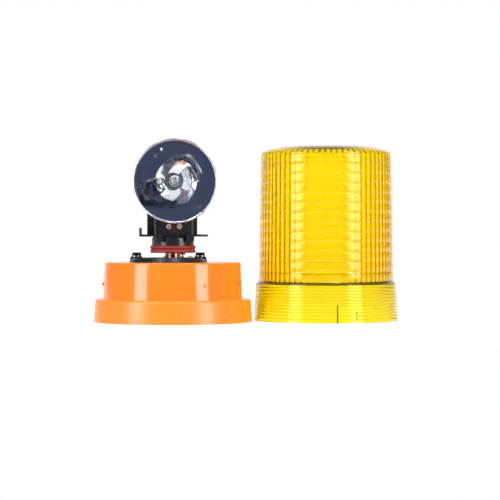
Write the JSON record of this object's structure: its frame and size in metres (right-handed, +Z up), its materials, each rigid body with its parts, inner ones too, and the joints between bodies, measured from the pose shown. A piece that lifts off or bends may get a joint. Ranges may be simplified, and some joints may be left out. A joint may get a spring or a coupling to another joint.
{
  "type": "rotating beacon",
  "caption": "Rotating amber warning beacon, dome off: friction-driven reflector and halogen lamp on a round base, with its ribbed dome beside it.",
  "frame": {"origin": "centre of the base's underside, on the rotor's axis", "axes": "+Z up along the rotor's axis; -Y to the front, where the reflector looks; +X towards the dome that stands beside the base"},
  "size_m": [0.31, 0.182, 0.184],
  "materials": {
    "housing_plastic": "glossy moulded orange polypropylene",
    "black_rubber": "matt moulded rubber",
    "cover_plastic": "fine-grained moulding",
    "zinc_steel": "bright zinc plating",
    "black_screw": "black oxide",
    "brass": "turned brass",
    "black_steel": "satin black enamel on sheet steel",
    "motor_steel": "drawn and zinc-plated can",
    "motor_plastic": "moulded",
    "roller_steel": "ground steel",
    "nylon": "natural nylon",
    "black_lead": "PVC insulation",
    "red_lead": "PVC insulation",
    "sinter_bronze": "oil-soaked sintered bronze",
    "black_cast": "semi-gloss black die casting",
    "red_silicone": "satin moulded silicone",
    "paxolin": "varnished brown laminate",
    "tinned_brass": "tinned",
    "phosphor_bronze": "rolled strip",
    "reflector_metal": "vacuum-coated mirror",
    "plated_steel": "nickel plating",
    "quartz": "clear quartz",
    "tungsten": "drawn wire",
    "spring_steel": "plated spring wire",
    "amber_plastic": "clear amber polycarbonate"
  },
  "bodies": {
    "base": {"base_housing": "housing_plastic", "base_gasket": "black_rubber", "bottom_cover": "cover_plastic", "cover_screws": "zinc_steel", "cable_grommet": "black_rubber", "mounting_inserts": "brass", "mounting_plate": "black_steel", "plate_grommets": "black_rubber", "plate_washers": "zinc_steel", "plate_screws": "black_screw", "motor_can": "motor_steel", "motor_end_cap": "motor_plastic", "motor_terminals": "brass", "motor_screws": "zinc_steel", "terminal_block": "nylon", "terminal_screws": "brass", "motor_leads": "black_lead", "lamp_feed_lead": "red_lead", "spindle": "brass", "spindle_insulator": "nylon", "centre_contact_pin": "brass", "thrust_washer": "nylon", "spindle_circlip": "zinc_steel"},
    "rotor": {"drum_bush": "sinter_bronze", "rotor_drum": "black_cast", "friction_ring": "red_silicone", "carrier_plate": "black_steel", "bracket_panel": "black_steel", "bracket_channel": "black_steel", "drum_screws": "zinc_steel", "insulator_tongue": "paxolin", "insulator_backing": "paxolin", "contact_rivets": "tinned_brass", "contact_leaf": "phosphor_bronze", "lamp_lead": "red_lead", "lamp_connector": "tinned_brass", "reflector": "reflector_metal", "reflector_screws": "zinc_steel", "lamp_holder": "plated_steel", "lamp_base": "plated_steel", "lamp_glass": "quartz", "lamp_filament": "tungsten", "lamp_spade": "tinned_brass"},
    "motor_rotor": {"motor_shaft": "zinc_steel", "drive_roller": "roller_steel"},
    "lamp_clip": {"lamp_clip": "spring_steel"},
    "dome": {"dome": "amber_plastic", "dome_seal": "black_rubber"}
  },
  "joints": [
    {"name": "rotor_spin", "type": "hinge", "parent": "base", "child": "rotor", "pos_m": [0, 0, 0.077], "axis": [0, 0, 1], "continuous": true},
    {"name": "motor_spin", "type": "hinge", "parent": "base", "child": "motor_rotor", "pos_m": [0.0085, 0.02489, 0.06], "axis": [0, 0, 1], "continuous": true},
    {"name": "lamp_clip_swing", "type": "hinge", "parent": "rotor", "child": "lamp_clip", "pos_m": [-0.00171, 0.0139, 0.1285], "axis": [-0.9925, -0.1219, 0], "range_deg": [0, 100]},
    {"name": "dome_lift", "type": "slide", "parent": "base", "child": "dome", "axis": [0, 0, 1], "range_m": [0, 0.19]}
  ],
  "couplings": [
    {"joint": "motor_spin", "follows": "rotor_spin", "ratio": -7.6667}
  ]
}
